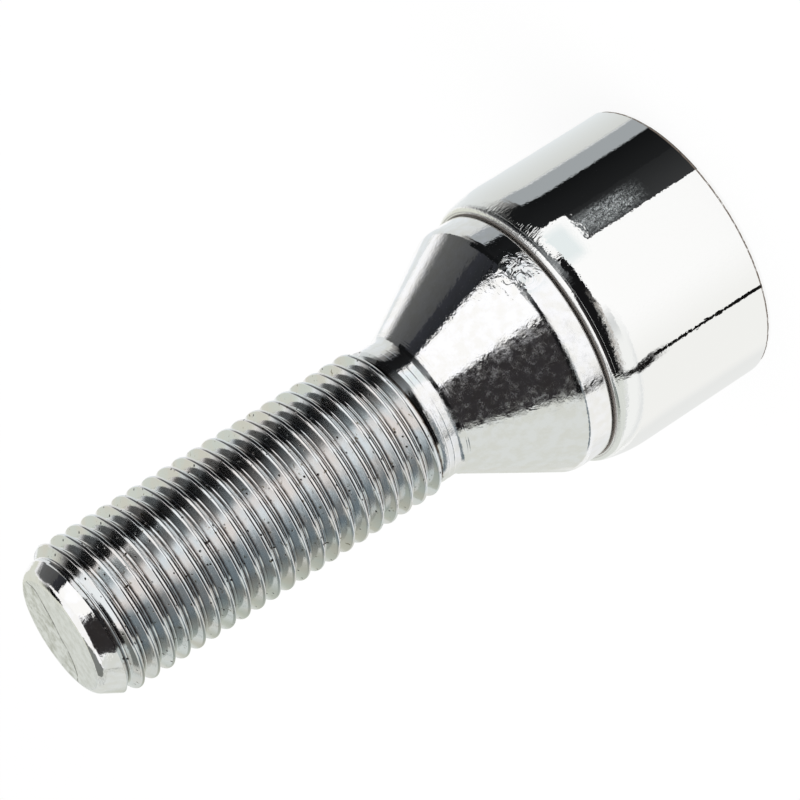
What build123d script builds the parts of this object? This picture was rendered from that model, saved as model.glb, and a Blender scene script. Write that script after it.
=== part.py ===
"""Locking wheel bolt, M14 x 1.5, with a 60 degree seat and a collar that turns freely.

The bolt stands on its head, with its thread upwards. The origin is the centre of the head's
end face and +Z runs along the axis to the thread's tip. All sizes are in millimetres.

Three pieces: the turned and rolled steel bolt, the plain sleeve round its head that spins
when somebody grips it, and the split ring that keeps the sleeve on.
The fine thread isn't cut here: the shank is its outside diameter.
"""

import os
from math import cos, radians, sin, sqrt, tan

from build123d import *

# Shank: the outside of an M14 thread, a cone at its tip and a plain neck below it.
thread_crest_r = 6.93
thread_length = 33.2
tip_face_r = 5.45
tip_cone_half_angle = 30.0
tip_edge_r = 0.25
runout_length = 0.5
neck_r = 6.42
neck_length = 2.25

# Seat: a 60 degree cone that ends in a plain band.
seat_angle = 60.0
band_r = 11.67
band_height = 2.53
band_edge_chamfer = 0.18

# Collar: a sleeve with a crowned shoulder towards the seat.
collar_r = 12.87
collar_wall = 2.52
collar_length = 16.05
collar_gap = 0.20
shoulder_length = 3.85
shoulder_arc_r = 12.0
lip_chamfer = 0.35
collar_end_chamfer = 0.4
collar_bore_chamfer = 0.25

# Head core inside the collar.
turning_clearance = 0.15
core_end_chamfer = 0.35

# Split ring of flat wire: it snaps out into the collar and runs in a deep groove of the core.
wire_width = 1.3
wire_thickness = 1.1
ring_seat_depth = 0.55
ring_height = 12.6
ring_side_clearance = 0.12
ring_closing_room = 0.3
ring_split_angle = 24.0

# Lock recess in the head's end: a round pilot, then a coded socket with uneven lobes.
pilot_wall = 2.0
pilot_depth = 2.4
pilot_chamfer = 0.35
socket_ledge = 1.9
socket_depth = 9.0
lobe_r = 1.15
lobe_ledge = 0.35
lobe_angles = (0.0, 43.0, 79.0, 134.0, 171.0, 231.0, 296.0)
drill_r = 3.4
drill_point_angle = 118.0

# Radii and heights that follow from the sizes above.
collar_bore_r = collar_r - collar_wall
core_r = collar_bore_r - turning_clearance
pilot_r = core_r - pilot_wall
socket_r = pilot_r - socket_ledge
band_base = collar_length + collar_gap
seat_base = band_base + band_height
seat_height = (band_r - neck_r) / tan(radians(seat_angle / 2))
neck_base = seat_base + seat_height
thread_base = neck_base + neck_length + runout_length
overall_length = thread_base + thread_length
ring_groove_height = wire_thickness + 2 * ring_side_clearance
tip_cone_length = (thread_crest_r - tip_face_r) / tan(radians(tip_cone_half_angle))


def round_corner(section, x, z, radius):
    """Round the corner of a half section that lies at radius x and height z."""
    corner = min(section.vertices(), key=lambda v: (v.X - x) ** 2 + (v.Y - z) ** 2)
    return fillet([corner], radius)


def cut_corner(section, x, z, length):
    """Bevel the corner of a half section that lies at radius x and height z."""
    corner = min(section.vertices(), key=lambda v: (v.X - x) ** 2 + (v.Y - z) ** 2)
    return chamfer([corner], length)


def turned(section):
    """Turn a half section, drawn as radius and height, about the bolt's axis."""
    return revolve(Plane.XZ * section, Axis.Z)


def bolt_section():
    """Half section of the bolt: core, band, seat, neck, thread outside and tip."""
    outline = Polyline(
        (0, 0),
        (core_r, 0),
        (core_r, band_base),
        (band_r, band_base),
        (band_r, seat_base),
        (neck_r, neck_base),
        (neck_r, neck_base + neck_length),
        (thread_crest_r, thread_base),
        (thread_crest_r, overall_length - tip_cone_length),
        (tip_face_r, overall_length),
        (0, overall_length),
        close=True,
    )
    section = make_face(outline)
    section = cut_corner(section, core_r, 0, core_end_chamfer)
    section = cut_corner(section, band_r, band_base, band_edge_chamfer)
    section = cut_corner(section, band_r, seat_base, band_edge_chamfer)
    return round_corner(section, tip_face_r, overall_length, tip_edge_r)


def ring_section():
    """Flat wire section of the ring, seated on the floor of the collar's groove."""
    outer_r = collar_bore_r + ring_seat_depth
    return Pos(outer_r - wire_width / 2, ring_height) * Rectangle(wire_width, wire_thickness)


def core_groove():
    """Groove in the core, deep enough for the ring to close up into it."""
    depth = wire_width + ring_closing_room
    return Pos(core_r - depth / 2, ring_height) * Rectangle(depth, ring_groove_height)


def collar_groove():
    """Shallow groove in the collar's bore, where the ring snaps in."""
    floor = Pos(collar_bore_r + ring_seat_depth / 2, ring_height)
    return floor * Rectangle(ring_seat_depth, ring_groove_height)


def socket_profile():
    """Coded outline of the socket: a round hole with lobes at uneven angles."""
    outline = Circle(socket_r)
    lobe_pitch_r = pilot_r - lobe_ledge - lobe_r
    for angle in lobe_angles:
        x = lobe_pitch_r * cos(radians(angle))
        y = lobe_pitch_r * sin(radians(angle))
        outline += Pos(x, y) * Circle(lobe_r)
    return outline


def lock_recess():
    """Solid that the key's room takes out of the head: pilot, socket and drill point."""
    pilot = Pos(0, 0, pilot_depth / 2) * Cylinder(pilot_r, pilot_depth)
    mouth = Pos(0, 0, pilot_chamfer / 2) * Cone(pilot_r + pilot_chamfer, pilot_r, pilot_chamfer)
    socket = extrude(socket_profile(), socket_depth)
    point_depth = drill_r / tan(radians(drill_point_angle / 2))
    point = Pos(0, 0, socket_depth + point_depth / 2) * Cone(drill_r, 0, point_depth)
    return pilot + mouth + socket + point


def make_bolt():
    """The steel bolt, in one piece, with its lock recess."""
    return turned(bolt_section() - core_groove()) - lock_recess()


def collar_section():
    """Half section of the collar: a sleeve whose shoulder is an arc, tangent to its side."""
    shoulder_base = collar_length - shoulder_length
    arc_x = collar_r - shoulder_arc_r
    lip_r = arc_x + sqrt(shoulder_arc_r**2 - shoulder_length**2)
    straight = Polyline(
        (lip_r, collar_length),
        (collar_bore_r, collar_length),
        (collar_bore_r, 0),
        (collar_r, 0),
        (collar_r, shoulder_base),
    )
    shoulder = RadiusArc((collar_r, shoulder_base), (lip_r, collar_length), -shoulder_arc_r)
    section = make_face(straight + shoulder)
    section = cut_corner(section, collar_r, 0, collar_end_chamfer)
    section = cut_corner(section, lip_r, collar_length, lip_chamfer)
    section = cut_corner(section, collar_bore_r, 0, collar_bore_chamfer)
    return cut_corner(section, collar_bore_r, collar_length, collar_bore_chamfer)


def make_rotating_collar():
    """The sleeve that turns freely round the head."""
    return turned(collar_section() - collar_groove())


def make_retaining_ring():
    """The split ring of flat wire, open for a few degrees."""
    closed_angle = 360.0 - ring_split_angle
    return revolve(Plane.XZ * ring_section(), Axis.Z, revolution_arc=closed_angle)


def main():
    """Build the three pieces and write one STEP file for each."""
    os.makedirs("parts", exist_ok=True)
    pieces = {
        "bolt": make_bolt(),
        "rotating_collar": make_rotating_collar(),
        "retaining_ring": make_retaining_ring(),
    }
    for name, piece in pieces.items():
        export_step(piece, f"parts/{name}.step")
        print(name, round(piece.volume, 1))
    print("overall length", round(overall_length, 3))


main()
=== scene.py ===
"""Looks of a locking wheel bolt whose head turns inside a chromed collar.

The bolt stands on its head with its thread upwards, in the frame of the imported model. Meshes
are drawn in millimetres and brought to metres when a piece is finished. The studio is a white
floor with soft light, and grey and black cards that only the metal sees.
"""

import logging
import math
from collections.abc import Callable
from dataclasses import dataclass
from enum import Enum
from functools import partial, reduce

import bmesh
import bpy
from bmesh.types import BMEdge, BMesh, BMVert
from bpy.types import Material, Node, NodeSocket, NodeTree, Object
from mathutils import Matrix, Vector


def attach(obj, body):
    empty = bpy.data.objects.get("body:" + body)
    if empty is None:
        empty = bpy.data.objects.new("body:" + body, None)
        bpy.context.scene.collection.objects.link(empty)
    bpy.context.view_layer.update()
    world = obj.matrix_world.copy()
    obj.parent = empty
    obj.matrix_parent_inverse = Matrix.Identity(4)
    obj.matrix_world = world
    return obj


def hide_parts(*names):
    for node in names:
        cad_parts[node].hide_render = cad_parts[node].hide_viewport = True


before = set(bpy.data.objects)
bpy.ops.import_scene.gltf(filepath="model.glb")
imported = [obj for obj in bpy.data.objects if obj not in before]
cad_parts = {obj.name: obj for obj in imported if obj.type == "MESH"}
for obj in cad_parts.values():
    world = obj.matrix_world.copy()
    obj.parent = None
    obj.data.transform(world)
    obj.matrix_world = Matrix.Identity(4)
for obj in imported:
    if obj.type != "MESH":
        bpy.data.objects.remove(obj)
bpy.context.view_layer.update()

log = logging.getLogger("wheel_bolt")

MM = 0.001
WELD = 0.002
TIMES = {"operation": "MULTIPLY"}
DROP_HEIGHT = {"operation": "MULTIPLY", 1: (1.0, 1.0, 0.0)}

Adder = Callable[..., Node]


def linear(code: str) -> tuple[float, float, float, float]:
    """Turn an sRGB hex value into a linear colour.

    Args:
        code: six hex digits after a hash sign.

    Returns:
        Red, green, blue and an alpha of one.
    """
    channels = [int(code[i : i + 2], 16) / 255 for i in (1, 3, 5)]
    values = [c / 12.92 if c <= 0.04045 else ((c + 0.055) / 1.055) ** 2.4 for c in channels]
    return (*values, 1.0)


def per_mm(size: float) -> float:
    """Turn a pattern's real size in millimetres into a texture's scale."""
    return 1 / (size * MM)


def between(start: float, end: float, unit: float = 1.0) -> dict:
    """Give the settings of a Map Range that climbs from 0 at the start to 1 at the end."""
    return {"From Min": start * unit, "From Max": end * unit}


def two_tones(first: str, second: str) -> dict:
    """Give the settings of a Mix that goes from one hex colour to another."""
    return {"data_type": "RGBA", 6: linear(first), 7: linear(second)}


def noise_of(size_mm: float, detail: float, roughness: float = 0.5) -> dict:
    """Give the settings of a noise texture of a real size."""
    return {"Scale": per_mm(size_mm), "Detail": detail, "Roughness": roughness}


def deep(height_mm: float) -> dict:
    """Give the settings of a Bump of a real height."""
    return {"Distance": height_mm * MM}


def add_node(
    tree: NodeTree, kind: str, settings: dict | None = None, links: dict | None = None
) -> Node:
    """Add a shader node with its settings and its incoming links.

    Args:
        tree: the node tree that gets the node.
        kind: the node's type name, less the ShaderNode that it starts with.
        settings: values by property name, input name or input number.
        links: sources by input name or input number. A source is an output socket, or a node
            whose first enabled output is meant.

    Returns:
        The new node.
    """
    node = tree.nodes.new("ShaderNode" + kind)
    for key, value in (settings or {}).items():
        if isinstance(key, int) or key in node.inputs:
            node.inputs[key].default_value = value
        else:
            setattr(node, key, value)
    for key, source in (links or {}).items():
        if isinstance(source, Node):
            source = next(output for output in source.outputs if output.enabled)
        tree.links.new(source, node.inputs[key])
    return node


def new_material(name: str) -> tuple[Material, Adder]:
    """Make a material with an empty node tree.

    Args:
        name: the material's name.

    Returns:
        The material and the function that adds its nodes.
    """
    material = bpy.data.materials.new(name)
    material.use_nodes = True
    material.node_tree.nodes.clear()
    return material, partial(add_node, material.node_tree)


class HalfSection:
    """A chain of edges in the XZ plane, in millimetres, that a spin makes a round body."""

    ROUND_STEP = math.radians(15)

    def __init__(self, radius: float, height: float) -> None:
        """Start the chain at one point.

        Args:
            radius: radius of the point.
            height: height of the point.
        """
        self.mesh = bmesh.new()
        self.end = self.mesh.verts.new((radius, 0.0, height))
        self.roundings: list[tuple[BMVert, float]] = []

    def to(self, radius: float, height: float, rounding: float = 0.0) -> "HalfSection":
        """Carry the chain straight on.

        Args:
            radius: radius of the next point.
            height: height of the next point.
            rounding: radius that the corner at that point gets.

        Returns:
            The same chain.
        """
        grown = bmesh.ops.extrude_vert_indiv(self.mesh, verts=[self.end])
        self.end = grown["verts"][0]
        self.end.co = (radius, 0.0, height)
        if rounding:
            self.roundings.append((self.end, rounding))
        return self

    def swing(
        self, centre: tuple[float, float], degrees: float, steps: int, rounding: float = 0.0
    ) -> "HalfSection":
        """Carry the chain round a centre.

        Args:
            centre: radius and height of the arc's centre.
            degrees: how far it turns, towards the thread's tip where negative.
            steps: edges of the arc.
            rounding: radius that the corner at the arc's end gets.

        Returns:
            The same chain.
        """
        turned = bmesh.ops.spin(
            self.mesh,
            geom=[self.end],
            cent=(centre[0], 0.0, centre[1]),
            axis=(0.0, 1.0, 0.0),
            angle=math.radians(degrees),
            steps=steps,
            use_merge=False,
        )
        self.end = next(g for g in turned["geom_last"] if isinstance(g, BMVert))
        if rounding:
            self.roundings.append((self.end, rounding))
        return self

    def round_corners(self) -> None:
        """Bevel each corner that has a rounding into an arc of that radius."""
        for corner, radius in self.roundings:
            before, after = (edge.other_vert(corner).co - corner.co for edge in corner.link_edges)
            turn = math.pi - before.angle(after)
            bmesh.ops.bevel(
                self.mesh,
                geom=[corner],
                offset=radius * math.tan(turn / 2),
                offset_type="OFFSET",
                affect="VERTICES",
                segments=max(3, math.ceil(turn / self.ROUND_STEP)),
                profile=0.5,
                material=-1,
                clamp_overlap=True,
            )

    def turned(self, columns: int, hold: float = 0.07) -> BMesh:
        """Round the corners, hold the long edges near their ends and spin the chain.

        Args:
            columns: faces round the axis.
            hold: how far from its ends a long edge gets a point, so that it shades straight.

        Returns:
            The turned mesh.
        """
        self.round_corners()
        for edge in [e for e in self.mesh.edges if e.calc_length() > 5 * hold]:
            for corner in list(edge.verts):
                rest = max(corner.link_edges, key=lambda e: e.calc_length())
                bmesh.utils.edge_split(rest, corner, hold / rest.calc_length())
        bmesh.ops.spin(
            self.mesh,
            geom=self.mesh.verts[:] + self.mesh.edges[:],
            cent=(0.0, 0.0, 0.0),
            axis=(0.0, 0.0, 1.0),
            angle=math.tau,
            steps=columns,
            use_merge=True,
        )
        return self.mesh


def merge_into(target: BMesh, part: BMesh) -> None:
    """Add a mesh to another.

    Args:
        target: the mesh that grows.
        part: the mesh that is added, and then freed.
    """
    carrier = bpy.data.meshes.new("carrier")
    part.to_mesh(carrier)
    part.free()
    target.from_mesh(carrier)
    bpy.data.meshes.remove(carrier)


def close_up(mesh: BMesh) -> None:
    """Merge the points that lie on each other and turn all faces outwards.

    Args:
        mesh: the mesh, in millimetres.
    """
    bmesh.ops.remove_doubles(mesh, verts=mesh.verts, dist=WELD)
    bmesh.ops.dissolve_degenerate(mesh, edges=mesh.edges, dist=WELD / 10)
    bmesh.ops.recalc_face_normals(mesh, faces=mesh.faces)


def linked_object(name: str, mesh: BMesh, materials: list[Material]) -> Object:
    """Make a mesh in millimetres an object in metres, at the origin and in the scene.

    Args:
        name: the object's name.
        mesh: its mesh, which is freed.
        materials: its materials, in the order of the faces' numbers.

    Returns:
        The object.
    """
    bmesh.ops.scale(mesh, vec=(MM, MM, MM), verts=mesh.verts)
    data = bpy.data.meshes.new(name)
    mesh.to_mesh(data)
    mesh.free()
    for material in materials:
        data.materials.append(material)
    made = bpy.data.objects.new(name, data)
    bpy.context.scene.collection.objects.link(made)
    return made


def finished_piece(
    name: str, mesh: BMesh, materials: list[Material], crease: float = 40.0
) -> Object:
    """Close a mesh in millimetres and make it an object that shades smoothly.

    Args:
        name: the piece's name.
        mesh: its mesh, which is freed.
        materials: its materials, in the order of the faces' numbers.
        crease: angle in degrees past which an edge stays sharp.

    Returns:
        The object, smooth between its creases.
    """
    close_up(mesh)
    open_edges = sum(1 for edge in mesh.edges if not edge.is_manifold)
    piece = linked_object(name, mesh, materials)
    piece.data.shade_smooth()
    piece.data.set_sharp_from_angle(angle=math.radians(crease))
    piece.modifiers.new("face_weights", "WEIGHTED_NORMAL").keep_sharp = True
    triangles = sum(len(face.vertices) - 2 for face in piece.data.polygons)
    log.info("%s: %d triangles, %d open edges", name, triangles, open_edges)
    return piece


@dataclass(frozen=True)
class Relief:
    """Unevenness of one grain: a noise of a real size, pressed into the surface.

    The grain of plating is too fine to show in the render, so it is drawn as coarse as it
    needs to be, at a few tenths of a millimetre.
    """

    size_mm: float
    height_mm: float
    detail: float = 1.0
    roughness: float = 0.5

    def press(self, add: Adder, spot: NodeSocket, under: Node | None = None) -> Node:
        """Press the relief into a surface.

        Args:
            add: adds a node to the finish.
            spot: Object coordinates.
            under: the bump that it lies on, if any.

        Returns:
            The bump that gives the surface's normal.
        """
        look = noise_of(self.size_mm, self.detail, self.roughness)
        links = {"Height": add("TexNoise", look, {"Vector": spot})}
        if under:
            links["Normal"] = under
        return add("Bump", deep(self.height_mm), links)


@dataclass(frozen=True)
class Patches:
    """Patches of a real size, scattered over a surface by a noise."""

    size_mm: float
    detail: float
    roughness: float = 0.5
    start: float = 0.4
    end: float = 0.6
    least: float = 0.0

    def scatter(self, add: Adder, spot: NodeSocket) -> Node:
        """Scatter the patches.

        Args:
            add: adds a node to the finish.
            spot: Object coordinates.

        Returns:
            The node that gives 1 in a patch and the least share between patches.
        """
        look = noise_of(self.size_mm, self.detail, self.roughness)
        noise = add("TexNoise", look, {"Vector": spot})
        ends = {**between(self.start, self.end), "To Min": self.least}
        return add("MapRange", ends, {0: noise})


@dataclass(frozen=True)
class Mottle:
    """Two tones, of which the second shows in patches."""

    first: str
    second: str
    patches: Patches

    def paint(self, add: Adder, spot: NodeSocket) -> Node:
        """Give the node that mixes the tones."""
        return add("Mix", two_tones(self.first, self.second), {0: self.patches.scatter(add, spot)})


class Finish:
    """What the finishes share: Object coordinates to start from and one shader at the end."""

    name: str

    def layers(self, add: Adder, spot: NodeSocket) -> tuple[dict, dict]:
        """Lay the finish's layers.

        Args:
            add: adds a node to the finish.
            spot: Object coordinates.

        Returns:
            The shader's settings and its links.
        """
        raise NotImplementedError

    def build(self) -> Material:
        """Build the material.

        Returns:
            The material.
        """
        material, add = new_material(self.name)
        settings, links = self.layers(add, add("TexCoord").outputs["Object"])
        shader = add("BsdfPrincipled", settings, links)
        add("OutputMaterial", {}, {"Surface": shader})
        return material


@dataclass(frozen=True)
class ChromePlate(Finish):
    """Decorative chrome on a turned steel sleeve: a mirror with the faint ripple of plating.

    Short polishing strokes along the axis roughen it beside the lip, most of all on the +X
    side, and turning marks run round the lip itself. Brown dust lies in the gap behind the lip.
    """

    name: str = "bright_chrome_plate"
    colour: str = "#FAFAF9"
    roughness: float = 0.03
    ripple: Relief = Relief(0.32, 0.0048, 1.5)
    swell: Relief = Relief(2.6, 0.012)
    hair_mm: tuple[float, float] = (0.2, 0.9)
    hair_height_mm: float = 0.045
    hair_rise: tuple[float, float] = (14.2, 15.4)
    hair_side: tuple[float, float] = (3.5, 7.5)
    hair_least: float = 0.3
    ring_mm: float = 0.15
    ring_height_mm: float = 0.009
    ring_from: float = 15.62
    dust: str = "#776F68"
    dust_from: float = 15.85
    dust_r: tuple[float, float] = (11.98, 11.80)
    dust_rings: tuple[float, float] = (0.44, 0.54)
    dust_roughness: float = 0.7

    def layers(self, add: Adder, spot: NodeSocket) -> tuple[dict, dict]:
        """Lay the ripple, the strokes and rings by the lip, and the dust in the gap.

        Args:
            add: adds a node to the finish.
            spot: Object coordinates.

        Returns:
            The shader's settings and its links.
        """
        axes = add("SeparateXYZ", {}, {0: spot})
        height = axes.outputs["Z"]
        plated = self.ripple.press(add, spot, self.swell.press(add, spot))
        across, along = (per_mm(size) for size in self.hair_mm)
        drawn_out = add("VectorMath", {**TIMES, 1: (across, across, along)}, {0: spot})
        stroke_look = {"Scale": 1.0, "Detail": 2.0, "Roughness": 0.6}
        strokes = add("TexNoise", stroke_look, {"Vector": drawn_out})
        beside_lip = add("MapRange", between(*self.hair_rise, MM), {0: height})
        one_side = {**between(*self.hair_side, MM), "To Min": self.hair_least}
        sided = add("MapRange", one_side, {0: axes.outputs["X"]})
        rubbed = add("Math", TIMES, {0: beside_lip, 1: sided})
        hair = add("Math", TIMES, {0: strokes, 1: rubbed})
        polished = add("Bump", deep(self.hair_height_mm), {"Height": hair, "Normal": plated})
        flat = add("VectorMath", DROP_HEIGHT, {0: spot})
        radius = add("VectorMath", {"operation": "LENGTH"}, {0: flat})
        over_lip = add("Math", {"operation": "SUBTRACT"}, {0: height, 1: radius})
        ring_look = {"noise_dimensions": "1D", **noise_of(self.ring_mm, 1.0)}
        marks = add("TexNoise", ring_look, {"W": over_lip})
        on_lip = add("Math", {"operation": "GREATER_THAN", 1: self.ring_from * MM}, {0: height})
        rings = add("Math", TIMES, {0: marks, 1: on_lip})
        turned = add("Bump", deep(self.ring_height_mm), {"Height": rings, "Normal": polished})
        within = add("MapRange", between(*self.dust_r, MM), {0: radius})
        above = add("Math", {"operation": "GREATER_THAN", 1: self.dust_from * MM}, {0: height})
        in_gap = add("Math", TIMES, {0: within, 1: above})
        in_rings = add("MapRange", between(*self.dust_rings), {0: marks})
        dusty = add("Math", TIMES, {0: in_gap, 1: in_rings})
        colour = add("Mix", two_tones(self.colour, self.dust), {0: dusty})
        bare = add("Math", {"operation": "SUBTRACT", 0: 1.0}, {1: dusty})
        dulling = {"To Min": self.roughness, "To Max": self.dust_roughness}
        dull = add("MapRange", dulling, {0: dusty})
        return {}, {"Base Color": colour, "Metallic": bare, "Roughness": dull, "Normal": turned}


@dataclass(frozen=True)
class SeatZinc(Finish):
    """Bright zinc on the turned neck, seat and band, with lathe rings, dull flecks and a dent.

    The flecks lie on the side that faces the camera, where the photograph's dark reflection
    is mottled. The rings are the tool's marks beside the neck.
    """

    name: str = "bright_zinc_seat"
    tint: Mottle = Mottle("#F5F4F2", "#FAFAFC", Patches(0.9, 3.0))
    roughness: float = 0.045
    fleck_roughness: float = 0.32
    flecks: Patches = Patches(0.7, 4.0, 0.72, 0.39, 0.65)
    fleck_side: tuple[float, float, float] = (-0.29, -0.957, 0.0)
    fleck_spread: tuple[float, float] = (26.0, 14.0)
    fleck_least: float = 0.1
    grain: Relief = Relief(0.34, 0.0105, 2.0, 0.55)
    swell: Relief = Relief(1.8, 0.015)
    ring_mm: float = 0.085
    ring_height_mm: float = 0.0035
    ring_rise: tuple[float, float] = (27.45, 27.95)
    dent: tuple[float, float, float] = (4.93, -10.58, 17.8)
    dent_reach: tuple[float, float] = (2.2, 0.88)
    dent_mm: float = 0.95
    dent_height_mm: float = 0.2
    front_knocks: float = 0.09

    def layers(self, add: Adder, spot: NodeSocket) -> tuple[dict, dict]:
        """Lay the tint, the flecks, the lathe's rings, the dent and the grain.

        Args:
            add: adds a node to the finish.
            spot: Object coordinates.

        Returns:
            The shader's settings and its links.
        """
        height = add("SeparateXYZ", {}, {0: spot}).outputs["Z"]
        level = add("VectorMath", DROP_HEIGHT, {0: spot})
        outward = add("VectorMath", {"operation": "NORMALIZE"}, {0: level})
        front = add("VectorMath", {"operation": "DOT_PRODUCT", 1: self.fleck_side}, {0: outward})
        edge, full = (math.cos(math.radians(angle)) for angle in self.fleck_spread)
        fronted = add("MapRange", {**between(edge, full), "To Min": self.fleck_least}, {0: front})
        dull = add("Math", TIMES, {0: fronted, 1: self.flecks.scatter(add, spot)})
        dulling = {"To Min": self.roughness, "To Max": self.fleck_roughness}
        gloss = add("MapRange", dulling, {0: dull})
        ring_look = {"noise_dimensions": "1D", **noise_of(self.ring_mm, 2.0)}
        rings = add("TexNoise", ring_look, {"W": height})
        beside_neck = add("MapRange", between(*self.ring_rise, MM), {0: height})
        turned = add("Math", TIMES, {0: rings, 1: beside_neck})
        waves = self.swell.press(add, spot)
        lathe = add("Bump", deep(self.ring_height_mm), {"Height": turned, "Normal": waves})
        centre = tuple(value * MM for value in self.dent)
        off_dent = add("VectorMath", {"operation": "DISTANCE", 1: centre}, {0: spot})
        in_dent = add("MapRange", between(*self.dent_reach, MM), {0: off_dent})
        front_knocked = add("Math", {**TIMES, 1: self.front_knocks}, {0: fronted})
        where_knocked = add("Math", {"operation": "MAXIMUM"}, {0: in_dent, 1: front_knocked})
        knock_look = {**noise_of(self.dent_mm, 2.0), "Distortion": 1.6}
        knocks = add("TexNoise", knock_look, {"Vector": spot})
        knocked = add("Math", TIMES, {0: knocks, 1: where_knocked})
        dented = add("Bump", deep(self.dent_height_mm), {"Height": knocked, "Normal": lathe})
        normal = self.grain.press(add, spot, dented)
        colour = self.tint.paint(add, spot)
        return {"Metallic": 1.0}, {"Base Color": colour, "Roughness": gloss, "Normal": normal}


@dataclass(frozen=True)
class ThreadZinc(Finish):
    """Bright zinc on the rolled thread, with a line of painted shade and brown grime by the root.

    The painted shade darkens the root's side of the flank that faces the head, where the thread
    shades itself, and is tinted brown like grime. It follows the helix: a phase of 0 is the crest,
    and it grows towards the tip to 0.5 in the root and to 1 at the next crest. Pits and stains are
    scattered over all of it.
    """

    name: str = "rolled_zinc_thread"
    pitch_mm: float = 1.5
    crest_mm: float = 61.31
    tint: Mottle = Mottle("#ECE9E7", "#E8ECEE", Patches(2.4, 2.0))
    # painted shade, tinted brown like grime, for the flank that faces the head beside the root
    shade_and_grime: str = "#66594F"
    shade_and_grime_clumps: Patches = Patches(0.5, 3.0, least=0.7)
    shade_and_grime_starts: tuple[float, float] = (0.515, 0.545)
    shade_and_grime_ends: tuple[float, float] = (0.67, 0.60)
    stain: str = "#8A826F"
    stains: Patches = Patches(0.55, 4.0, 0.65, 0.645, 0.69)
    pit: str = "#2E2824"
    pit_mm: float = 0.95
    pit_edge: tuple[float, float] = (0.13, 0.078)
    pit_depth_mm: float = 0.03
    roughness: float = 0.115
    grain: Relief = Relief(0.26, 0.0043, 4.0, 0.68)
    swell: Relief = Relief(1.6, 0.010)

    def layers(self, add: Adder, spot: NodeSocket) -> tuple[dict, dict]:
        """Lay the tint, the stains, the grime along the helix, the pits and the grain.

        Args:
            add: adds a node to the finish.
            spot: Object coordinates.

        Returns:
            The shader's settings and its links.
        """
        axes = add("SeparateXYZ", {}, {0: spot})
        side = add("Math", {"operation": "ARCTAN2"}, {0: axes.outputs["Y"], 1: axes.outputs["X"]})
        unwinding = {"operation": "MULTIPLY_ADD", 1: -self.pitch_mm * MM / math.tau}
        level = add("Math", unwinding, {0: side, 2: axes.outputs["Z"]})
        one_turn = between(self.crest_mm, self.crest_mm + self.pitch_mm, MM)
        turns = add("MapRange", {"clamp": False, **one_turn}, {0: level})
        phase = add("Math", {"operation": "FRACT"}, {0: turns})
        # painted shade: the band by the root on the flank that faces the head is darkened in the
        # colour, partly brown grime
        above_root = add("MapRange", between(*self.shade_and_grime_starts), {0: phase})
        below_flank = add("MapRange", between(*self.shade_and_grime_ends), {0: phase})
        underside = add("Math", TIMES, {0: above_root, 1: below_flank})
        shaded_and_grimy = add("Math", TIMES, {0: underside, 1: self.shade_and_grime_clumps.scatter(add, spot)})
        stained = self.stains.scatter(add, spot)
        cells = add("TexVoronoi", {"Scale": per_mm(self.pit_mm)}, {"Vector": spot})
        pitted = add("MapRange", between(*self.pit_edge), {0: cells})
        colour = self.tint.paint(add, spot)
        for share, tone in ((stained, self.stain), (shaded_and_grimy, self.shade_and_grime), (pitted, self.pit)):
            colour = add("Mix", {"data_type": "RGBA", 7: linear(tone)}, {0: share, 6: colour})
        waves = self.swell.press(add, spot)
        pit_depth = {**deep(self.pit_depth_mm), "invert": True}
        holes = add("Bump", pit_depth, {"Height": pitted, "Normal": waves})
        links = {"Base Color": colour, "Normal": self.grain.press(add, spot, holes)}
        return {"Metallic": 1.0, "Roughness": self.roughness}, links


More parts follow.
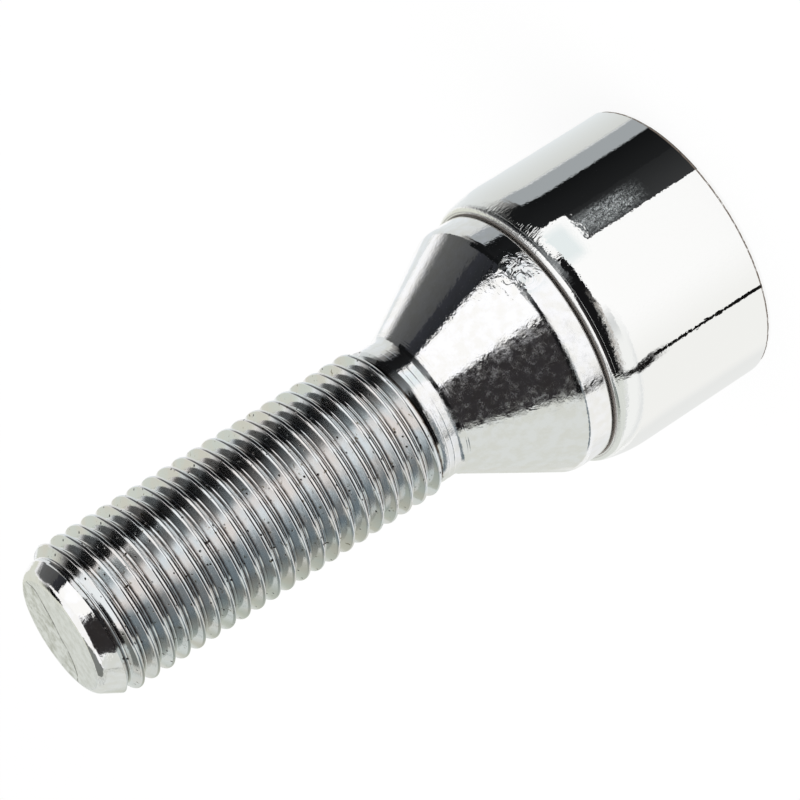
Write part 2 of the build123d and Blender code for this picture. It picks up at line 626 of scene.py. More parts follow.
@dataclass(frozen=True)
class EndZinc(Finish):
    """Zinc over the blank's sheared end: a dark shear line, smooth before it and mottled behind.

    The line is given as heights towards the camera's side over its length, in millimetres.
    """

    name: str = "sheared_zinc_end"
    smooth: str = "#FAFBFD"
    mottled: str = "#C9CAC4"
    line: str = "#3E3A34"
    reach: float = 5.6
    path: tuple[tuple[float, float], ...] = (
        (-5.6, 0.1), (-4.9, 0.35), (-4.2, 1.0), (-3.0, 0.85), (-1.4, 0.5),
        (0.2, -0.2), (1.4, -0.5), (3.2, -1.8), (3.9, -3.0), (5.6, -5.0),
    )
    line_width_mm: float = 0.16
    line_breaks: tuple[float, float] = (0.38, 0.55)
    line_least: float = 0.15
    wander_mm: float = 0.5
    wander_share: float = 0.02
    step_mm: float = 0.09
    mottles: Patches = Patches(0.8, 4.0, 0.65, 0.42, 0.66)
    front_share: float = 0.45
    roughness: float = 0.34
    grain: Relief = Relief(0.22, 0.010, 4.0, 0.65)

    def draw_line(self, shape: Node) -> None:
        """Draw the shear line's path, in shares of the end's width.

        Args:
            shape: the curve node, which starts with two points.
        """
        width = 2 * self.reach
        spots = [((x + self.reach) / width, (y + self.reach) / width) for x, y in self.path]
        points = shape.mapping.curves[0].points
        points[0].location = spots[0]
        points[1].location = spots[-1]
        for place in spots[1:-1]:
            points.new(*place)
        shape.mapping.update()

    def layers(self, add: Adder, spot: NodeSocket) -> tuple[dict, dict]:
        """Lay the shear line, the mottled side behind it, its step and the grain.

        Args:
            add: adds a node to the finish.
            spot: Object coordinates.

        Returns:
            The shader's settings and its links.
        """
        axes = add("SeparateXYZ", {}, {0: spot})
        wander = add("TexNoise", noise_of(self.wander_mm, 4.0, 0.7), {"Vector": spot})
        over_end = between(self.reach, -self.reach, MM)
        across = add("MapRange", over_end, {0: axes.outputs["X"]})
        toward = add("MapRange", over_end, {0: axes.outputs["Y"]})
        shape = add("FloatCurve", {}, {"Value": across})
        self.draw_line(shape)
        past = add("Math", {"operation": "SUBTRACT"}, {0: toward, 1: shape})
        stray = {"To Min": -self.wander_share, "To Max": self.wander_share}
        wandered = add("MapRange", stray, {0: wander})
        off = add("Math", {"operation": "ADD"}, {0: past, 1: wandered})
        distance = add("Math", {"operation": "ABSOLUTE"}, {0: off})
        width = self.line_width_mm / (2 * self.reach)
        drawn = add("MapRange", between(width, width * 0.3), {0: distance})
        broken = {**between(*self.line_breaks), "To Min": self.line_least}
        breaks = add("MapRange", broken, {0: wander})
        dark = add("Math", TIMES, {0: drawn, 1: breaks})
        soft_step = between(self.wander_share, -self.wander_share)
        soft_step |= {"interpolation_type": "SMOOTHSTEP", "To Min": self.front_share}
        behind = add("MapRange", soft_step, {0: off})
        brown = add("Math", TIMES, {0: behind, 1: self.mottles.scatter(add, spot)})
        patchy = add("Mix", two_tones(self.smooth, self.mottled), {0: brown})
        colour = add("Mix", {"data_type": "RGBA", 7: linear(self.line)}, {0: dark, 6: patchy})
        step = add("Bump", {**deep(self.step_mm), "invert": True}, {"Height": behind})
        links = {"Base Color": colour, "Normal": self.grain.press(add, spot, step)}
        return {"Metallic": 1.0, "Roughness": self.roughness}, links


@dataclass(frozen=True)
class DullMetal(Finish):
    """Plain metal that the light hardly reaches: blurred reflections over two stained tones."""

    name: str
    tones: Mottle
    roughness: float
    grain: Relief

    def layers(self, add: Adder, spot: NodeSocket) -> tuple[dict, dict]:
        """Lay the stained tones and the grain."""
        links = {"Base Color": self.tones.paint(add, spot), "Normal": self.grain.press(add, spot)}
        return {"Metallic": 1.0, "Roughness": self.roughness}, links


class Skin(Enum):
    """Which finish a face of the bolt has, as its material number."""

    THREAD = 0
    SEAT = 1
    END = 2
    RECESS = 3
    TIP = 4


@dataclass
class RolledThread:
    """The M14 x 1.5 thread, rolled on a coned blank, in millimetres."""

    pitch: float = 1.5
    crest_r: float = 6.93
    root_r: float = 6.08
    flank_angle: float = 30.0
    crest_half_width: float = 0.134
    crest_rounding: float = 0.17
    root_rounding: float = 0.12
    crest_height: float = 61.31
    turns: int = 24
    tip_ring: float = 62.82
    neck_ring: float = 29.4
    neck_r: float = 6.42
    fade_start: float = 30.8
    fade_end: float = 29.8
    runout_start: float = 31.2
    runout_end: float = 29.5

    def section(self) -> HalfSection:
        """Draw one pitch of the thread.

        Returns:
            The chain, from root to root.
        """
        half = self.pitch / 2
        flank = (self.crest_r - self.root_r) * math.tan(math.radians(self.flank_angle))
        root_edge = self.crest_half_width + flank
        chain = HalfSection(self.root_r, -half)
        chain.to(self.root_r, -root_edge, self.root_rounding)
        chain.to(self.crest_r, -self.crest_half_width, self.crest_rounding)
        chain.to(self.crest_r, self.crest_half_width, self.crest_rounding)
        chain.to(self.root_r, root_edge, self.root_rounding)
        return chain.to(self.root_r, half)

    def envelope(self, height: float, cone_r: Callable[[float], float]) -> tuple[float, float]:
        """Give the largest and smallest radius that the thread may have at a height.

        Args:
            height: height above the head's end face.
            cone_r: radius of the tip's cone at a height.

        Returns:
            The largest and the smallest radius.
        """
        faded = smooth_step((height - self.fade_end) / (self.fade_start - self.fade_end))
        outside = self.neck_r + (self.crest_r - self.neck_r) * faded
        cut = smooth_step((height - self.runout_end) / (self.runout_start - self.runout_end))
        floor = self.neck_r + (self.root_r - self.neck_r) * cut
        return min(outside, cone_r(height)), floor

    def build(self, columns: int, cone_r: Callable[[float], float]) -> BMesh:
        """Spin one turn, repeat it along the shank and trim it to the cone and the neck.

        Args:
            columns: faces round the axis.
            cone_r: radius of the tip's cone at a height.

        Returns:
            The thread's skin, open at the tip ring and the neck ring.
        """
        chain = self.section()
        chain.round_corners()
        mesh = chain.mesh
        bmesh.ops.translate(mesh, vec=(0, 0, self.crest_height + self.pitch), verts=mesh.verts)
        bmesh.ops.spin(
            mesh,
            geom=mesh.verts[:] + mesh.edges[:],
            cent=(0.0, 0.0, 0.0),
            axis=(0.0, 0.0, 1.0),
            dvec=(0.0, 0.0, self.pitch / columns),
            angle=math.tau,
            steps=columns,
            use_merge=False,
        )
        turn = mesh.verts[:] + mesh.edges[:] + mesh.faces[:]
        for _ in range(self.turns):
            copied = bmesh.ops.duplicate(mesh, geom=turn)["geom"]
            moved = [g for g in copied if isinstance(g, BMVert)]
            bmesh.ops.translate(mesh, vec=(0.0, 0.0, -self.pitch), verts=moved)
            turn = copied
        for vert in mesh.verts:
            height = min(max(vert.co.z, self.neck_ring), self.tip_ring)
            outside, floor = self.envelope(height, cone_r)
            radius = vert.co.xy.length
            reach = min(outside, max(radius, floor)) / radius
            vert.co = (vert.co.x * reach, vert.co.y * reach, height)
        return mesh


def smooth_step(share: float) -> float:
    """Ease a share from 0 to 1, and hold it there outside that range."""
    share = min(max(share, 0.0), 1.0)
    return share * share * (3 - 2 * share)


@dataclass
class LockRecess:
    """The coded recess in the head's end face, in millimetres."""

    pilot_r: float = 8.2
    pilot_depth: float = 2.4
    socket_r: float = 6.3
    socket_depth: float = 9.0
    lobe_pitch_r: float = 6.7
    lobe_r: float = 1.15
    lobe_angles: tuple[float, ...] = (0.0, 43.0, 79.0, 134.0, 171.0, 231.0, 296.0)
    mouth_bevel: float = 0.15
    drill_r: float = 3.4
    drill_depth: float = 2.043
    outline_points: int = 432

    def outline_r(self, angle: float) -> float:
        """Give the radius of the coded outline.

        Args:
            angle: angle round the axis, in radians.

        Returns:
            The radius of the socket, or of a lobe where one reaches further.
        """
        reach = self.socket_r
        for lobe in self.lobe_angles:
            off = math.remainder(angle - math.radians(lobe), math.tau)
            side = self.lobe_pitch_r * math.sin(off)
            if abs(off) < math.pi / 2 and abs(side) < self.lobe_r:
                far = self.lobe_pitch_r * math.cos(off) + math.sqrt(self.lobe_r**2 - side**2)
                reach = max(reach, far)
        return reach

    def ring(self, mesh: BMesh, points: int, radius: float, height: float) -> list[BMEdge]:
        """Add a level circle to a mesh.

        Args:
            mesh: the mesh that gets it.
            points: how many points it has.
            radius: its radius.
            height: its height.

        Returns:
            Its edges.
        """
        made = bmesh.ops.create_circle(
            mesh, segments=points, radius=radius, matrix=Matrix.Translation((0, 0, height))
        )
        return list({edge for vert in made["verts"] for edge in vert.link_edges})

    def build(self, columns: int) -> BMesh:
        """Model the recess behind the pilot's wall.

        Args:
            columns: points of the round rings.

        Returns:
            The recess's skin, open at the foot of the pilot's wall.
        """
        mesh = bmesh.new()
        pilot = self.ring(mesh, columns, self.pilot_r, self.pilot_depth)
        mouth = self.ring(mesh, self.outline_points, self.socket_r, self.pilot_depth)
        for vert in {vert for edge in mouth for vert in edge.verts}:
            reach = self.outline_r(math.atan2(vert.co.y, vert.co.x)) / self.socket_r
            vert.co.x *= reach
            vert.co.y *= reach
        bmesh.ops.triangle_fill(mesh, edges=pilot + mouth, use_beauty=True)
        walls = bmesh.ops.extrude_edge_only(mesh, edges=mouth)["geom"]
        foot = [g for g in walls if isinstance(g, BMVert)]
        rise = self.socket_depth - self.pilot_depth
        bmesh.ops.translate(mesh, vec=(0.0, 0.0, rise), verts=foot)
        low = [g for g in walls if isinstance(g, BMEdge) and g.is_boundary]
        drill = self.ring(mesh, columns, self.drill_r, self.socket_depth)
        bmesh.ops.triangle_fill(mesh, edges=low + drill, use_beauty=True)
        point = HalfSection(self.drill_r, self.socket_depth)
        point.to(0.0, self.socket_depth + self.drill_depth)
        merge_into(mesh, point.turned(columns))
        bmesh.ops.remove_doubles(mesh, verts=mesh.verts, dist=WELD)
        bmesh.ops.bevel(
            mesh,
            geom=mouth,
            offset=self.mouth_bevel,
            offset_type="OFFSET",
            affect="EDGES",
            segments=2,
            profile=0.5,
            material=-1,
            clamp_overlap=True,
        )
        return mesh


@dataclass
class Bolt:
    """The steel bolt: tip, thread, neck, 60 degree seat, band and the core in the collar."""

    columns: int = 144
    overall: float = 63.823
    tip_face_r: float = 5.45
    tip_edge_r: float = 1.0
    end_rings: tuple[float, ...] = (4.9, 4.2, 3.5, 2.8, 2.1, 1.4, 0.7, 0.0)
    end_margin: float = 0.02
    tip_skin_overlap: float = 0.8
    cone_angle: float = 30.0
    neck_base: float = 27.873
    neck_r: float = 6.42
    neck_fillet: float = 1.3
    neck_lines: tuple[float, ...] = (29.33, 28.75)
    seat_angle: float = 60.0
    seat_lines: tuple[float, ...] = (0.42, 0.62)
    line_width: float = 0.08
    line_rise: float = 0.010
    band_r: float = 11.67
    band_base: float = 16.25
    seat_base: float = 18.78
    band_edge_r: float = 1.3
    band_foot_r: float = 0.25
    core_r: float = 10.2
    core_edge: float = 0.35
    core_margin: float = 0.01
    groove_r: float = 8.6
    groove_low: float = 11.93
    groove_high: float = 13.27

    def cone_r(self, height: float) -> float:
        """Give the radius of the tip's cone at a height."""
        drop = self.overall - height
        return self.tip_face_r + drop * math.tan(math.radians(self.cone_angle))

    def tip(self, ring: float) -> BMesh:
        """Turn the clean cone above the thread and the end face.

        Args:
            ring: height at which the thread ends and the clean cone starts.

        Returns:
            The tip's skin, open at that height.
        """
        chain = HalfSection(self.cone_r(ring), ring)
        chain.to(self.tip_face_r, self.overall, self.tip_edge_r)
        for radius in self.end_rings:
            chain.to(radius, self.overall)
        return chain.turned(self.columns)

    def head(self, ring: float, recess: LockRecess) -> BMesh:
        """Turn the neck, seat, band, core and the recess's pilot wall.

        Args:
            ring: height at which the thread ends and the plain neck starts.
            recess: the lock recess, which gives the pilot's size.

        Returns:
            The head's skin, open at the neck and at the pilot's foot.
        """
        chain = HalfSection(self.neck_r, ring)
        for low in self.neck_lines:
            self.turned_line(chain, self.neck_r, low, 0.0)
        chain.to(self.neck_r, self.neck_base, self.neck_fillet)
        slope = math.radians(self.seat_angle / 2)
        for along in self.seat_lines:
            radius = self.neck_r + along * math.sin(slope)
            self.turned_line(chain, radius, self.neck_base - along * math.cos(slope), slope)
        chain.to(self.band_r, self.seat_base, self.band_edge_r)
        chain.to(self.band_r, self.band_base, self.band_foot_r)
        chain.to(self.core_r, self.band_base)
        chain.to(self.core_r, self.groove_high)
        chain.to(self.groove_r, self.groove_high)
        chain.to(self.groove_r, self.groove_low)
        chain.to(self.core_r, self.groove_low)
        chain.to(self.core_r, self.core_edge)
        chain.to(self.core_r - self.core_edge, 0.0)
        chain.to(recess.pilot_r + self.core_edge, 0.0)
        chain.to(recess.pilot_r, self.core_edge)
        chain.to(recess.pilot_r, recess.pilot_depth)
        return chain.turned(self.columns)

    def turned_line(
        self, chain: HalfSection, radius: float, height: float, slope: float
    ) -> None:
        """Carry a chain through a fine ridge that the turning tool left.

        Args:
            chain: the chain, on the surface just above the ridge.
            radius: the surface's radius at the ridge.
            height: height of the ridge's middle.
            slope: how far the surface leans off the axis, in radians.
        """
        width, rise = self.line_width / 2, self.line_rise
        along = Vector((-math.sin(slope), math.cos(slope)))
        out = Vector((math.cos(slope), math.sin(slope)))
        middle = Vector((radius, height))
        chain.to(*(middle + along * width))
        chain.to(*(middle + out * rise))
        chain.to(*(middle - along * width))

    def skin_of(self, centre: Vector, thread: RolledThread) -> Skin:
        """Say which finish a face has.

        Args:
            centre: the face's centre, in millimetres.
            thread: the thread, which gives its own ends.

        Returns:
            The face's finish.
        """
        radius = centre.xy.length
        if centre.z > self.overall - self.end_margin and radius < self.tip_face_r:
            return Skin.END
        if centre.z > thread.tip_ring - self.tip_skin_overlap:
            return Skin.TIP
        if radius < self.core_r + self.core_margin and centre.z < self.band_base:
            return Skin.RECESS
        if centre.z > thread.fade_end:
            return Skin.THREAD
        return Skin.SEAT

    def build(self, materials: list[Material]) -> Object:
        """Model the bolt and put it in the place of its CAD node.

        Args:
            materials: its materials, in the order of Skin.

        Returns:
            The bolt's object.
        """
        thread = RolledThread()
        recess = LockRecess()
        mesh = thread.build(self.columns, self.cone_r)
        merge_into(mesh, self.tip(thread.tip_ring))
        merge_into(mesh, self.head(thread.neck_ring, recess))
        merge_into(mesh, recess.build(self.columns))
        bmesh.ops.remove_doubles(mesh, verts=mesh.verts, dist=WELD)
        for face in mesh.faces:
            face.material_index = self.skin_of(face.calc_center_median(), thread).value
        piece = finished_piece("bolt_body", mesh, materials)
        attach(piece, "bolt")
        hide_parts("bolt")
        return piece


@dataclass
class Collar:
    """The chromed sleeve that turns freely round the head, in millimetres."""

    columns: int = 288
    outside_r: float = 12.87
    bore_r: float = 10.35
    length: float = 16.05
    shoulder_length: float = 3.85
    shoulder_arc_r: float = 12.0
    shoulder_steps: int = 12
    lip_rounding: float = 0.45
    end_rounding: float = 0.4
    bore_rounding: float = 0.25
    groove_r: float = 10.9
    groove_low: float = 11.93
    groove_high: float = 13.27

    def build(self, material: Material) -> Object:
        """Model the collar and put it in the place of its CAD node.

        Args:
            material: its chrome plate.

        Returns:
            The collar's object.
        """
        shoulder = self.length - self.shoulder_length
        sweep = math.degrees(math.asin(self.shoulder_length / self.shoulder_arc_r))
        middle = self.groove_low / 2
        chain = HalfSection(self.bore_r, middle)
        chain.to(self.bore_r, 0.0, self.bore_rounding)
        chain.to(self.outside_r, 0.0, self.end_rounding)
        chain.to(self.outside_r, shoulder)
        centre = (self.outside_r - self.shoulder_arc_r, shoulder)
        chain.swing(centre, -sweep, self.shoulder_steps, self.lip_rounding)
        chain.to(self.bore_r, self.length, self.bore_rounding)
        chain.to(self.bore_r, self.groove_high)
        chain.to(self.groove_r, self.groove_high)
        chain.to(self.groove_r, self.groove_low)
        chain.to(self.bore_r, self.groove_low)
        chain.to(self.bore_r, middle)
        piece = finished_piece("collar_sleeve", chain.turned(self.columns), [material])
        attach(piece, "collar")
        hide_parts("rotating_collar")
        return piece


def dress_ring(material: Material) -> None:
    """Give the retaining ring, which keeps its CAD mesh, its finish.

    Args:
        material: the ring's material.
    """
    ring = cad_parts["retaining_ring"]
    ring.data.materials.clear()
    ring.data.materials.append(material)
    log.info("retaining_ring: CAD mesh kept")


@dataclass(frozen=True)
class CardFace:
    """What a card shows to the metal: a tone, a second tone, soft borders and a broken print.

    Borders are the shares of the card's width and height over which it fades out, in the
    order left, right, foot, head. A print is broken up into streaks, whose number across and
    up the card is given with the share that they leave bare.
    """

    tone: str
    far_tone: str = ""
    borders: tuple[float, float, float, float] = (0.0, 0.0, 0.0, 0.0)
    broken: float = 0.0
    streaks: tuple[float, float] = (10.0, 10.0)
    softness: float = 0.06
    strength: float = 1.0

    def covers(self, add: Adder, place: NodeSocket, axes: Node) -> list[Node]:
        """Give the shares of the card that each soft border and the broken print leave.

        Args:
            add: adds a node to the card's material.
            place: the card's UV coordinates.
            axes: the node that takes them apart.

        Returns:
            The nodes that give the shares.
        """
        shares = []
        for border, axis, side in zip(self.borders, "XXYY", (0.0, 1.0, 0.0, 1.0)):
            if border:
                fade = between(side, abs(side - border)) | {"interpolation_type": "SMOOTHSTEP"}
                shares.append(add("MapRange", fade, {0: axes.outputs[axis]}))
        if self.broken:
            spread = add("VectorMath", {**TIMES, 1: (*self.streaks, 1.0)}, {0: place})
            print_look = {"Scale": 1.0, "Detail": 4.0, "Roughness": 0.7}
            patches = add("TexNoise", print_look, {"Vector": spread})
            ends = between(self.broken + self.softness, self.broken - self.softness)
            shares.append(add("MapRange", ends, {0: patches}))
        return shares

    def build(self, name: str) -> Material:
        """Build the card's material.

        Args:
            name: the material's name.

        Returns:
            The material.
        """
        material, add = new_material(name)
        place = add("TexCoord").outputs["UV"]
        axes = add("SeparateXYZ", {}, {0: place})
        shares = self.covers(add, place, axes)
        tones = two_tones(self.tone, self.far_tone or self.tone)
        tone = add("Mix", tones, {0: axes.outputs["X"]})
        seen = add("Emission", {"Strength": self.strength}, {"Color": tone})
        if shares:
            cover = reduce(lambda some, more: add("Math", TIMES, {0: some, 1: more}), shares)
            seen = add("MixShader", {}, {0: cover, 1: add("BsdfTransparent"), 2: seen})
        add("OutputMaterial", {}, {"Surface": seen})
        material.cycles.emission_sampling = "NONE"
        return material


@dataclass(frozen=True)
class BentCard:
    """A studio card that only metal sees: a unit sheet, bent to its place in millimetres."""

    name: str
    face: CardFace

    def place(self, across: float, up: float) -> Vector:
        """Give the place of a point of the card.

        Args:
            across: share of the card's width.
            up: share of its height.

        Returns:
            The place in millimetres.
        """
        raise NotImplementedError

    def build(self) -> None:
        """Cut the card, bend it, print it and hide it from all but reflections."""
        mesh = bmesh.new()
        mesh.loops.layers.uv.new("UVMap")
        bmesh.ops.create_grid(mesh, x_segments=24, y_segments=8, size=0.5, calc_uvs=True)
        for vert in mesh.verts:
            vert.co = self.place(vert.co.x + 0.5, vert.co.y + 0.5)
        card = linked_object(self.name, mesh, [self.face.build(self.name + "_card")])
        for ray in ("camera", "diffuse", "shadow", "transmission"):
            setattr(card, "visible_" + ray, False)


@dataclass(frozen=True)
class Card(BentCard):
    """A card that stands on a ring round the bolt.

    Azimuths are in degrees from the camera's side towards +X. Heights are in millimetres.
    """

    foot: tuple[float, float]
    head: tuple[float, float]
    low: float
    high: float
    distance: float = 340.0

    def place(self, across: float, up: float) -> Vector:
        """Give the place of a point of the card.

        Args:
            across: share of the card's width.
            up: share of its height.

        Returns:
            The place in millimetres.
        """
        left = self.foot[0] + (self.head[0] - self.foot[0]) * up
        right = self.foot[1] + (self.head[1] - self.foot[1]) * up
        angle = math.radians(left + (right - left) * across)
        height = self.low + (self.high - self.low) * up
        return Vector((self.distance * math.sin(angle), -self.distance * math.cos(angle), height))


@dataclass(frozen=True)
class FloorCard(BentCard):
    """A card on the floor, cut along the lines in which the collar mirrors the floor.

    The span is the stretch of the collar's side that sees the card, in degrees from the
    camera's side towards +X, and the card starts and ends at a distance from the collar.
    """

    span: tuple[float, float]
    near: float
    far: float
    lift: float = 0.1
    collar_r: float = 12.87

    def place(self, across: float, up: float) -> Vector:
        """Give the place of a point of the card.

        Args:
            across: share of the card's width.
            up: share of its length.

        Returns:
            The place in millimetres.
        """
        side = math.radians(self.span[0] + (self.span[1] - self.span[0]) * across)
        reach = self.near + (self.far - self.near) * up
        start = self.collar_r * Vector((math.sin(side), -math.cos(side), 0.0))
        away = reach * Vector((math.sin(2 * side), -math.cos(2 * side), 0.0))
        return start + away + Vector((0.0, 0.0, self.lift))


CARDS = (
    Card("room_front", CardFace("#302E2F"), (-65, 9), (-73, 6), 0, 355),
    Card("room_front_high", CardFace("#2B2724", "#302E2F", (0.1, 0.07, 0, 0.05)),
         (-80, 11), (-58, -15), 355, 560),
    Card("room_front_low", CardFace("#151516", borders=(0, 0, 0, 0.3)),
         (-65, 36), (-68, 20), 0, 170, 338),
    Card("softbox", CardFace("#FFFFFF", borders=(0.1, 0, 0, 0), strength=1.05),
         (12, 62), (-10, 72), 200, 480, 344),
    Card("room_right", CardFace("#26282B", "#34353A"), (62, 88), (70, 88), 0, 420),
    Card("room_right_low", CardFace("#141516"), (60, 95), (60, 95), 0, 110, 336),
    Card("room_right_far", CardFace("#4A4B4C", "#6A6B6A", (0, 0.35, 0, 0.2)),
         (86, 138), (86, 134), 0, 400, 338),
    Card("room_left", CardFace("#DADDD8"), (-179, -65), (-179, -71), 0, 300),
    Card("back_left", CardFace("#797C78"), (-165, -100), (-165, -100), 200, 885),
    Card("back_pale", CardFace("#D9DBD0"), (134, 196), (134, 196), 62, 700, 344),
    Card("back_right", CardFace("#0C0D0E", borders=(0, 0, 0.38, 0.12)),
         (108, 156), (108, 150), 290, 830),
    Card("behind_thread", CardFace("#C9CCBE", "#6F777A", (0.15, 0, 0, 0.35)),
         (-160, -80), (-160, -80), 38, 66, 30),
    Card("beside_thread", CardFace("#9A9EA0", "#0A0A0B", (0.4, 0, 0, 0.1)),
         (12, 62), (12, 62), 17.5, 44, 50),
    FloorCard("floor_dark_right", CardFace("#1F2021", "#121314"), (31, 45.5), 0, 330),
    FloorCard("floor_grey_right", CardFace("#A0A5A8", borders=(0.1, 0.2, 0, 0)),
              (44.5, 56), 0, 60, 0.2),
    FloorCard("floor_far_right", CardFace("#303031", "#B8B8B6"), (45.5, 56), 60, 330),
    FloorCard("floor_pale_right", CardFace("#D5D7D4", "#E8EDEF"), (55, 80), 0, 330, 0.15),
    FloorCard("floor_dark_near", CardFace("#363738", "#252627"), (18, 31), 0, 26),
    FloorCard("floor_sparkle",
              CardFace("#D6DCDE", borders=(0.3, 0.4, 0.4, 0.05), broken=0.46,
                       streaks=(12, 48), softness=0.025),
              (17.5, 30), 9, 27, 0.25),
    FloorCard("floor_sky", CardFace("#E9F0F1", borders=(0.25, 0.3, 0.08, 0.25)),
              (11, 31), 25, 330, 0.15),
    FloorCard("floor_pale_left", CardFace("#F5F5F3", borders=(0.4, 0.2, 0, 0)),
              (-10, -75), 0.4, 56),
    FloorCard("floor_limb_left", CardFace("#EBECEB", borders=(0.3, 0, 0, 0)),
              (-60, -89), 0.4, 48, 0.12),
    FloorCard("floor_far_limb_left", CardFace("#D9DBD5", borders=(0.3, 0, 0.1, 0)),
              (-60, -89), 44, 330, 0.14),
    FloorCard("floor_neck_left", CardFace("#E6E8E8", borders=(0.3, 0.2, 0.2, 0)),
              (-8, -75), 52, 92, 0.15),
    FloorCard("floor_grey_left", CardFace("#8A9195", "#69757B", (0.24, 0.1, 0.06, 0)),
              (-4, -66), 90, 325, 0.2),
    Card("shoulder_white", CardFace("#F5F6F5", borders=(0.2, 0.1, 0.3, 0.35)),
         (-8, -150), (-8, -150), 8, 15.6, 35),
    Card("shoulder_dark", CardFace("#18191A", borders=(0, 0.3, 0.15, 0.1)),
         (66, 74), (66, 97), 8, 13.9, 34.8),
    Card("shoulder_mottle",
         CardFace("#BDB8B2", borders=(0.2, 0.3, 0.1, 0.3), broken=0.47,
                  streaks=(20, 2), softness=0.04),
         (-54, 6), (-54, 6), 13.1, 15.6, 34.4),
    Card("shoulder_line",
         CardFace("#1B1A19", borders=(0.35, 0.35, 0, 0.1), broken=0.62,
                  streaks=(8, 4), softness=0.05),
         (-58.5, -52.5), (-58.5, -52.5), 7.4, 15.2, 34.6),
    Card("front_mottle",
         CardFace("#D8D7D4", borders=(0.2, 0.3, 0, 0.5), broken=0.5,
                  streaks=(12, 3), softness=0.05),
         (-62, 4), (-62, 4), 0, 26, 335),
    # painted contact shadow: a broken dark ring on the floor round the collar's foot, which only
    # the metal mirrors as a thin dark line
    FloorCard("floor_contact_shadow",
              CardFace("#7A7068", broken=0.6, streaks=(70, 1), softness=0.1),
              (-75, 75), 0, 0.3, 0.3),
    FloorCard("floor_line_left", CardFace("#131212"), (-34, -32.6), 0, 26, 0.3),
    FloorCard("floor_smear_left",
              CardFace("#141313", borders=(0.25, 0.25, 0.1, 0.5), broken=0.6, streaks=(5, 3)),
              (-36.4, -31), 21, 90, 0.35),
)


@dataclass
class Studio:
    """Floor, world, lamp and cards."""

    floor_half_width_mm: float = 3000.0
    floor_drop_mm: float = 0.02
    floor_glow: float = 0.88
    floor_tone: str = "#F2F2F2"
    world_light: float = 0.95
    lamp_width: float = 0.5
    lamp_watts: float = 2.2
    lamp_place: tuple[float, float, float] = (-0.25, -0.2, 0.7)
    lamp_aim: tuple[float, float, float] = (0.0, 0.0, 0.03)

    def seen_white(self, add: Adder) -> Node:
        """Tell apart the rays to which the studio is plain white.

        Args:
            add: adds a node to the material or world.

        Returns:
            A node that gives 1 for a ray from the camera, off metal or through glass, else 0.
        """
        rays = add("LightPath").outputs
        largest = {"operation": "MAXIMUM"}
        either = add("Math", largest, {0: rays["Is Camera Ray"], 1: rays["Is Glossy Ray"]})
        return add("Math", largest, {0: either, 1: rays["Is Transmission Ray"]})

    def build_floor(self) -> None:
        """Lay a white floor that keeps a faint shadow and is clear from below."""
        mesh = bmesh.new()
        bmesh.ops.create_grid(mesh, x_segments=1, y_segments=1, size=self.floor_half_width_mm)
        material, add = new_material("white_studio_floor")
        share = add("Math", {**TIMES, 1: self.floor_glow}, {0: self.seen_white(add)})
        matt = add("BsdfDiffuse", {"Color": linear(self.floor_tone)})
        glow = add("Emission", {"Strength": 1.0})
        mixed = add("MixShader", {}, {0: share, 1: matt, 2: glow})
        below = add("NewGeometry").outputs["Backfacing"]
        one_sided = add("MixShader", {}, {0: below, 1: mixed, 2: add("BsdfTransparent")})
        add("OutputMaterial", {}, {"Surface": one_sided})
        floor = linked_object("floor", mesh, [material])
        floor.location.z = -self.floor_drop_mm * MM

    def build_world(self) -> None:
        """Set an even world: white where it is seen, a plain soft light elsewhere."""
        world = bpy.data.worlds.new("white_surround")
        world.use_nodes = True
        world.node_tree.nodes.clear()
        add = partial(add_node, world.node_tree)
        strength = add("MapRange", {"To Min": self.world_light}, {0: self.seen_white(add)})
        white = {"Color": linear("#FFFFFF")}
        add("OutputWorld", {}, {"Surface": add("Background", white, {"Strength": strength})})
        bpy.context.scene.world = world

    def build_lamp(self) -> None:
        """Hang one wide soft lamp above the bolt, on the camera's left."""
        data = bpy.data.lights.new("soft_lamp", "AREA")
        data.shape = "DISK"
        data.size = self.lamp_width
        data.energy = self.lamp_watts
        lamp = bpy.data.objects.new("soft_lamp", data)
        lamp.location = self.lamp_place
        aim = Vector(self.lamp_aim) - lamp.location
        lamp.rotation_euler = aim.to_track_quat("-Z", "Y").to_euler()
        lamp.visible_glossy = False
        bpy.context.scene.collection.objects.link(lamp)

    def build(self) -> None:
        """Build the whole studio, with the cards that draw the metal's light and dark stripes."""
        self.build_floor()
        self.build_world()
        self.build_lamp()
        for card in CARDS:
            card.build()


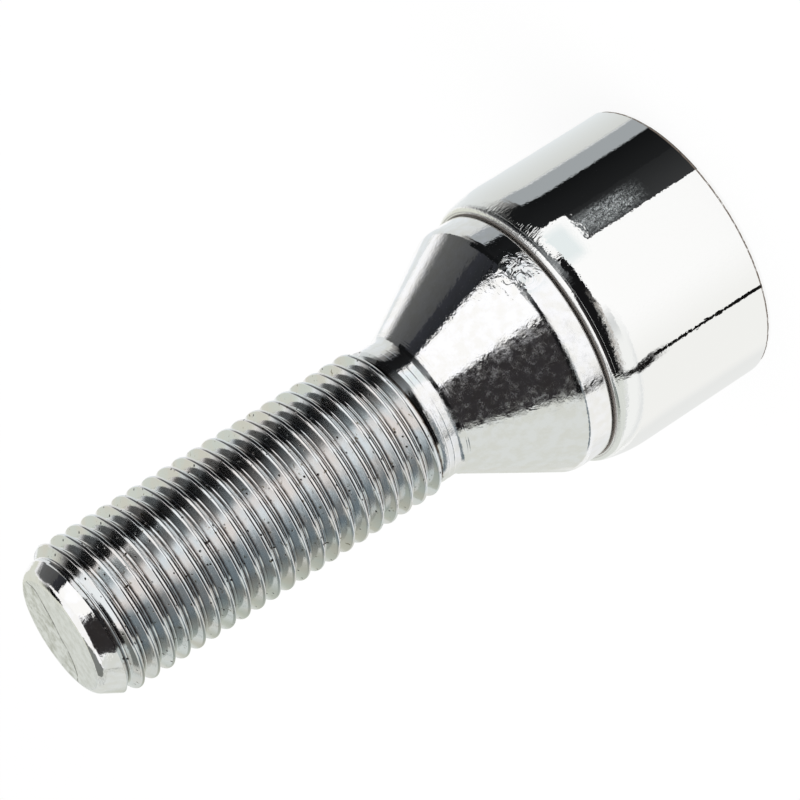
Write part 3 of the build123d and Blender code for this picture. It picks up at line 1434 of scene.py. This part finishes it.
@dataclass(frozen=True)
class PhotoCamera:
    """The camera that the photograph's outline gives, in millimetres."""

    place: tuple[float, float, float] = (0.0, -288.575, 140.398)
    right: tuple[float, float, float] = (-0.54075, -0.30184, -0.78516)
    down: tuple[float, float, float] = (-0.84117, 0.19823, 0.50312)
    lens: float = 168.352
    sensor: float = 36.0

    def build(self) -> None:
        """Set up the camera and make it the scene's."""
        data = bpy.data.cameras.new("photo_camera")
        data.lens = self.lens
        data.sensor_width = self.sensor
        data.sensor_fit = "HORIZONTAL"
        data.clip_start = 0.01
        right = Vector(self.right).normalized()
        back = right.cross(-Vector(self.down)).normalized()
        upward = back.cross(right)
        camera = bpy.data.objects.new("photo_camera", data)
        turn = Matrix((right, upward, back)).transposed().to_4x4()
        camera.matrix_world = Matrix.Translation(MM * Vector(self.place)) @ turn
        bpy.context.scene.collection.objects.link(camera)
        bpy.context.scene.camera = camera


# The cone by the tip was cut before plating: a smoother mirror than the seat, hardly flecked.
TIP_ZINC = SeatZinc(
    "bright_zinc_tip", fleck_roughness=0.12, front_knocks=0.07, swell=Relief(1.0, 0.020)
)
# Little zinc gets into the deep recess: a dull pale grey with brownish stains.
RECESS_ZINC = DullMetal(
    "dull_zinc_recess",
    Mottle("#C9CAC8", "#8A867A", Patches(0.30, 4.0, 0.65, 0.5, 0.8)),
    roughness=0.30,
    grain=Relief(0.30, 0.006, 4.0, 0.65),
)
# Drawn spring wire under a film of oil: a dark grey sheen, brown where the oil is thick.
SPRING_STEEL = DullMetal(
    "oiled_spring_steel",
    Mottle("#6F7072", "#3A3632", Patches(0.20, 4.0, 0.65, 0.5, 0.8)),
    roughness=0.28,
    grain=Relief(0.20, 0.003, 4.0, 0.65),
)


def main() -> None:
    """Build the camera, the studio and the dressed pieces in order."""
    logging.basicConfig(level=logging.INFO, format="%(name)s: %(message)s")
    PhotoCamera().build()
    Studio().build()
    scene = bpy.context.scene
    scene.view_settings.view_transform = "Standard"
    finishes = (ThreadZinc(), SeatZinc(), EndZinc(), RECESS_ZINC, TIP_ZINC)
    zinc = [finish.build() for finish in finishes]
    Bolt().build(zinc)
    Collar().build(ChromePlate().build())
    dress_ring(SPRING_STEEL.build())


if __name__ == "__main__":
    main()
